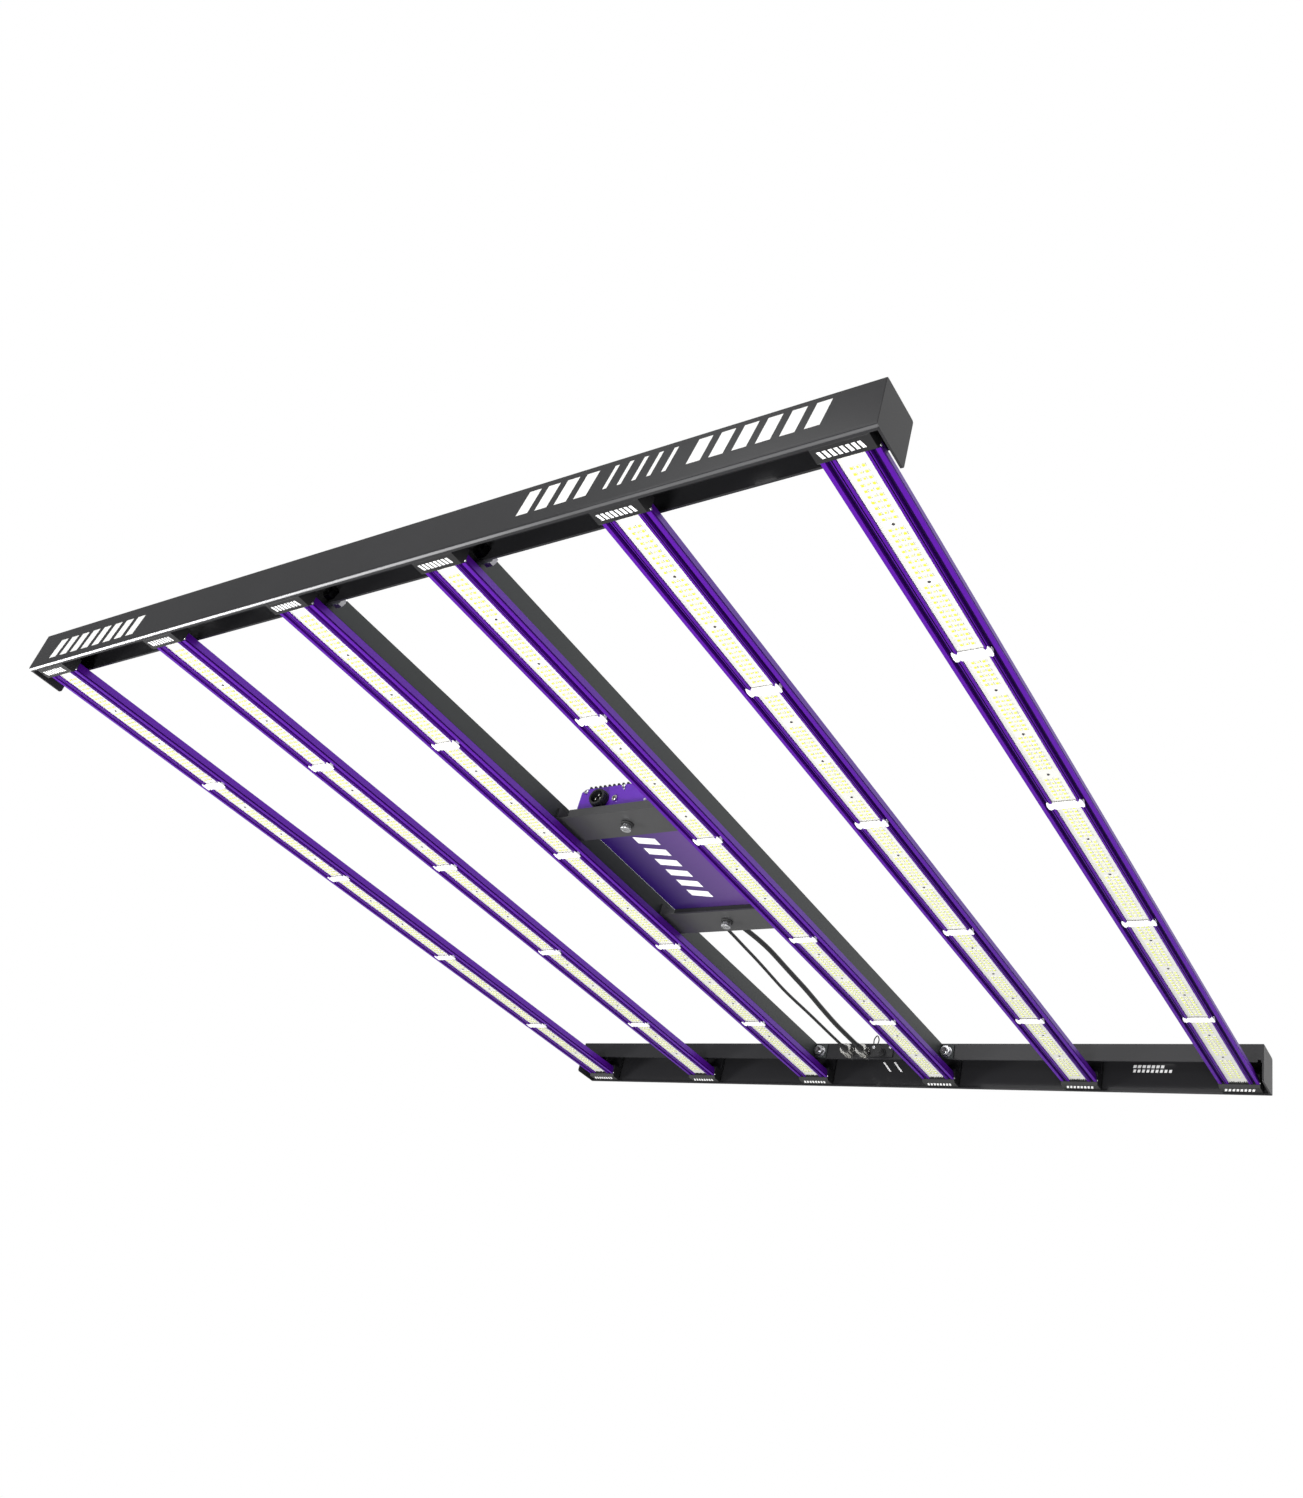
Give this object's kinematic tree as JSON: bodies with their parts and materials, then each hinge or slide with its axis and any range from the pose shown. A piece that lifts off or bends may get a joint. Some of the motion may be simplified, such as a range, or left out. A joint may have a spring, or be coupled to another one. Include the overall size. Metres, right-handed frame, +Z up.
{
  "type": "led grow light",
  "caption": "Flat hanging grow light: finned LED bars between two folded rails, with a driver on brackets between two beams.",
  "frame": {"origin": "middle of the light at the height of the rails' lower edges", "axes": "+X along the rails, +Y along the LED bars towards the rail with the sockets, +Z up, with the LEDs facing -Z"},
  "size_m": [1.035, 1.123, 0.0715],
  "materials": {
    "rail_coating": "fine matt powder coat",
    "grey_coating": "satin powder coat",
    "purple_anodise": "satin anodised extrusion",
    "white_board": "white solder mask",
    "black_plastic": "fine moulded texture",
    "zinc_steel": "zinc plated",
    "nickel_brass": "nickel plated",
    "driver_purple": "smooth satin coat",
    "black_aluminium": "black anodised",
    "circuit": "green circuit board",
    "black_rubber": "matt rubber",
    "cable_sheath": "smooth cable sheath"
  },
  "bodies": {
    "frame": {"near_rail": "rail_coating", "far_rail": "rail_coating", "heatsink_1": "purple_anodise", "heatsink_2": "purple_anodise", "heatsink_3": "purple_anodise", "heatsink_4": "purple_anodise", "heatsink_5": "purple_anodise", "heatsink_6": "purple_anodise", "led_board_1": "white_board", "led_board_2": "white_board", "led_board_3": "white_board", "led_board_4": "white_board", "led_board_5": "white_board", "led_board_6": "white_board", "near_bar_end_1": "black_plastic", "near_bar_end_2": "black_plastic", "near_bar_end_3": "black_plastic", "near_bar_end_4": "black_plastic", "near_bar_end_5": "black_plastic", "near_bar_end_6": "black_plastic", "far_bar_end_1": "black_plastic", "far_bar_end_2": "black_plastic", "far_bar_end_3": "black_plastic", "far_bar_end_4": "black_plastic", "far_bar_end_5": "black_plastic", "far_bar_end_6": "black_plastic", "control_port": "black_plastic", "mains_inlet": "black_plastic", "left_beam": "grey_coating", "right_beam": "grey_coating", "near_driver_bracket": "grey_coating", "far_driver_bracket": "grey_coating", "left_beam_near_bolt": "zinc_steel", "left_beam_far_bolt": "zinc_steel", "right_beam_near_bolt": "zinc_steel", "right_beam_far_bolt": "zinc_steel", "dimming_jack": "nickel_brass", "power_socket": "nickel_brass", "dimming_socket": "nickel_brass", "driver_tray": "driver_purple", "driver_near_plate": "driver_purple", "driver_far_plate": "driver_purple", "driver_fin_cover": "black_aluminium", "driver_circuit": "circuit", "near_driver_pad": "black_rubber", "far_driver_pad": "black_rubber", "power_grommet": "black_rubber", "dimming_grommet": "black_rubber", "power_plug": "black_rubber", "dimming_plug": "black_rubber", "cap_lanyard": "black_rubber", "power_cable": "cable_sheath", "dimming_cable": "cable_sheath", "bar_harness": "cable_sheath"},
    "near_screw": {"near_driver_screw": "zinc_steel"},
    "far_screw": {"far_driver_screw": "zinc_steel"},
    "power_ring": {"power_coupling_ring": "nickel_brass"},
    "dimming_ring": {"dimming_coupling_ring": "nickel_brass"},
    "cap": {"dust_cap": "black_rubber"}
  },
  "joints": [
    {"name": "near_screw_turn", "type": "hinge", "parent": "frame", "child": "near_screw", "pos_m": [0, -0.112, 0.02], "axis": [0, 0, 1], "continuous": true},
    {"name": "far_screw_turn", "type": "hinge", "parent": "frame", "child": "far_screw", "pos_m": [0, 0.112, 0.02], "axis": [0, 0, 1], "continuous": true},
    {"name": "power_ring_turn", "type": "hinge", "parent": "frame", "child": "power_ring", "pos_m": [-0.009, 0.51, 0.0335], "axis": [0, 1, 0], "continuous": true},
    {"name": "dimming_ring_turn", "type": "hinge", "parent": "frame", "child": "dimming_ring", "pos_m": [-0.033, 0.51, 0.0335], "axis": [0, 1, 0], "continuous": true},
    {"name": "cap_turn", "type": "hinge", "parent": "frame", "child": "cap", "pos_m": [0.018, 0.507, 0.034], "axis": [0, 1, 0], "continuous": true}
  ]
}
